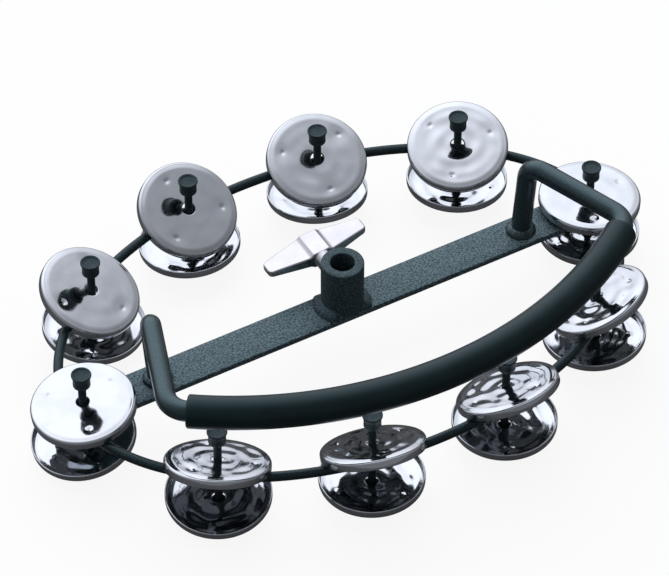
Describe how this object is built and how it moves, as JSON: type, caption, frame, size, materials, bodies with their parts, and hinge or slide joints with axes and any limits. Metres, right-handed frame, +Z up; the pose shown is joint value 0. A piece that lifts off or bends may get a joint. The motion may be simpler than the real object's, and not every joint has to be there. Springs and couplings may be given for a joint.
{
  "type": "hi-hat jingle ring",
  "caption": "Oval jingle ring for a hi-hat stand: rod hoop with lid-shaped jingles on capped posts, flat cross bar with clamp hub and wing screw, and a bent handle with a rubber sleeve.",
  "frame": {"origin": "on the clamp bore's axis, at the level of the bottom caps' feet, under the middle of the part", "axes": "+Z up along the clamp bore, +X along the cross bar, -Y towards the front of the handle"},
  "size_m": [0.3179, 0.2214, 0.0778],
  "materials": {
    "black_rod": "black, finely textured, semi-gloss",
    "hammered_steel": "grey-black hammered, speckled",
    "nickel": "mirror-polished nickel",
    "chrome": "bright chrome, cast",
    "screw_steel": "zinc-plated",
    "cap_rubber": "black, satin",
    "sleeve_rubber": "very dark teal-black, smooth satin"
  },
  "bodies": {
    "frame": {"ring_rod": "black_rod", "cross_bar": "hammered_steel", "clamp_hub": "hammered_steel", "handle_rod": "black_rod", "handle_sleeve": "sleeve_rubber", "post_a": "black_rod", "post_b": "black_rod", "post_c": "black_rod", "post_d": "black_rod", "post_e": "black_rod", "post_f": "black_rod", "post_g": "black_rod", "post_h": "black_rod", "post_i": "black_rod", "post_j": "black_rod", "top_cap_a": "cap_rubber", "top_cap_b": "cap_rubber", "top_cap_c": "cap_rubber", "top_cap_d": "cap_rubber", "top_cap_e": "cap_rubber", "top_cap_f": "cap_rubber", "top_cap_g": "cap_rubber", "top_cap_h": "cap_rubber", "top_cap_i": "cap_rubber", "top_cap_j": "cap_rubber", "bottom_cap_a": "cap_rubber", "bottom_cap_b": "cap_rubber", "bottom_cap_c": "cap_rubber", "bottom_cap_d": "cap_rubber", "bottom_cap_e": "cap_rubber", "bottom_cap_f": "cap_rubber", "bottom_cap_g": "cap_rubber", "bottom_cap_h": "cap_rubber", "bottom_cap_i": "cap_rubber", "bottom_cap_j": "cap_rubber"},
    "clamp_screw": {"clamp_screw": "screw_steel"},
    "wing_head": {"wing_head": "chrome"},
    "upper_jingle_a": {"upper_jingle_a": "nickel"},
    "upper_jingle_b": {"upper_jingle_b": "nickel"},
    "upper_jingle_c": {"upper_jingle_c": "nickel"},
    "upper_jingle_d": {"upper_jingle_d": "nickel"},
    "upper_jingle_e": {"upper_jingle_e": "nickel"},
    "upper_jingle_f": {"upper_jingle_f": "nickel"},
    "upper_jingle_g": {"upper_jingle_g": "nickel"},
    "upper_jingle_h": {"upper_jingle_h": "nickel"},
    "upper_jingle_i": {"upper_jingle_i": "nickel"},
    "upper_jingle_j": {"upper_jingle_j": "nickel"},
    "lower_jingle_a": {"lower_jingle_a": "nickel"},
    "lower_jingle_b": {"lower_jingle_b": "nickel"},
    "lower_jingle_c": {"lower_jingle_c": "nickel"},
    "lower_jingle_d": {"lower_jingle_d": "nickel"},
    "lower_jingle_e": {"lower_jingle_e": "nickel"},
    "lower_jingle_f": {"lower_jingle_f": "nickel"},
    "lower_jingle_g": {"lower_jingle_g": "nickel"},
    "lower_jingle_h": {"lower_jingle_h": "nickel"},
    "lower_jingle_i": {"lower_jingle_i": "nickel"},
    "lower_jingle_j": {"lower_jingle_j": "nickel"}
  },
  "joints": [
    {"name": "screw_travel", "type": "slide", "parent": "frame", "child": "clamp_screw", "axis": [0, 1, 0], "range_m": [-0.0016, 0.0031]},
    {"name": "wing_turn", "type": "hinge", "parent": "clamp_screw", "child": "wing_head", "pos_m": [0, 0.02, 0.0432], "axis": [0, 1, 0], "range_deg": [-540, 1080]},
    {"name": "upper_lift_a", "type": "slide", "parent": "frame", "child": "upper_jingle_a", "axis": [0, 0, 1], "range_m": [0, 0.0092]},
    {"name": "upper_lift_b", "type": "slide", "parent": "frame", "child": "upper_jingle_b", "axis": [0, 0, 1], "range_m": [0, 0.0084]},
    {"name": "upper_lift_c", "type": "slide", "parent": "frame", "child": "upper_jingle_c", "axis": [0, 0, 1], "range_m": [0, 0.0085]},
    {"name": "upper_lift_d", "type": "slide", "parent": "frame", "child": "upper_jingle_d", "axis": [0, 0, 1], "range_m": [0, 0.0083]},
    {"name": "upper_lift_e", "type": "slide", "parent": "frame", "child": "upper_jingle_e", "axis": [0, 0, 1], "range_m": [0, 0.0081]},
    {"name": "upper_lift_f", "type": "slide", "parent": "frame", "child": "upper_jingle_f", "axis": [0, 0, 1], "range_m": [0, 0.009]},
    {"name": "upper_lift_g", "type": "slide", "parent": "frame", "child": "upper_jingle_g", "axis": [0, 0, 1], "range_m": [0, 0.0081]},
    {"name": "upper_lift_h", "type": "slide", "parent": "frame", "child": "upper_jingle_h", "axis": [0, 0, 1], "range_m": [0, 0.0082]},
    {"name": "upper_lift_i", "type": "slide", "parent": "frame", "child": "upper_jingle_i", "axis": [0, 0, 1], "range_m": [0, 0.0083]},
    {"name": "upper_lift_j", "type": "slide", "parent": "frame", "child": "upper_jingle_j", "axis": [0, 0, 1], "range_m": [0, 0.0077]},
    {"name": "lower_lift_a", "type": "slide", "parent": "frame", "child": "lower_jingle_a", "axis": [0, 0, 1], "range_m": [0, 0.0114]},
    {"name": "lower_lift_b", "type": "slide", "parent": "frame", "child": "lower_jingle_b", "axis": [0, 0, 1], "range_m": [0, 0.0068]},
    {"name": "lower_lift_c", "type": "slide", "parent": "frame", "child": "lower_jingle_c", "axis": [0, 0, 1], "range_m": [0, 0.003]},
    {"name": "lower_lift_d", "type": "slide", "parent": "frame", "child": "lower_jingle_d", "axis": [0, 0, 1], "range_m": [0, 0.0045]},
    {"name": "lower_lift_e", "type": "slide", "parent": "frame", "child": "lower_jingle_e", "axis": [0, 0, 1], "range_m": [0, 0.0095]},
    {"name": "lower_lift_f", "type": "slide", "parent": "frame", "child": "lower_jingle_f", "axis": [0, 0, 1], "range_m": [0, 0.0083]},
    {"name": "lower_lift_g", "type": "slide", "parent": "frame", "child": "lower_jingle_g", "axis": [0, 0, 1], "range_m": [0, 0.0042]},
    {"name": "lower_lift_h", "type": "slide", "parent": "frame", "child": "lower_jingle_h", "axis": [0, 0, 1], "range_m": [0, 0.0055]},
    {"name": "lower_lift_i", "type": "slide", "parent": "frame", "child": "lower_jingle_i", "axis": [0, 0, 1], "range_m": [0, 0.0056]},
    {"name": "lower_lift_j", "type": "slide", "parent": "frame", "child": "lower_jingle_j", "axis": [0, 0, 1], "range_m": [0, 0.0066]}
  ],
  "couplings": [
    {"joint": "screw_travel", "follows": "wing_turn", "m_per_rad": 0.00015915}
  ]
}
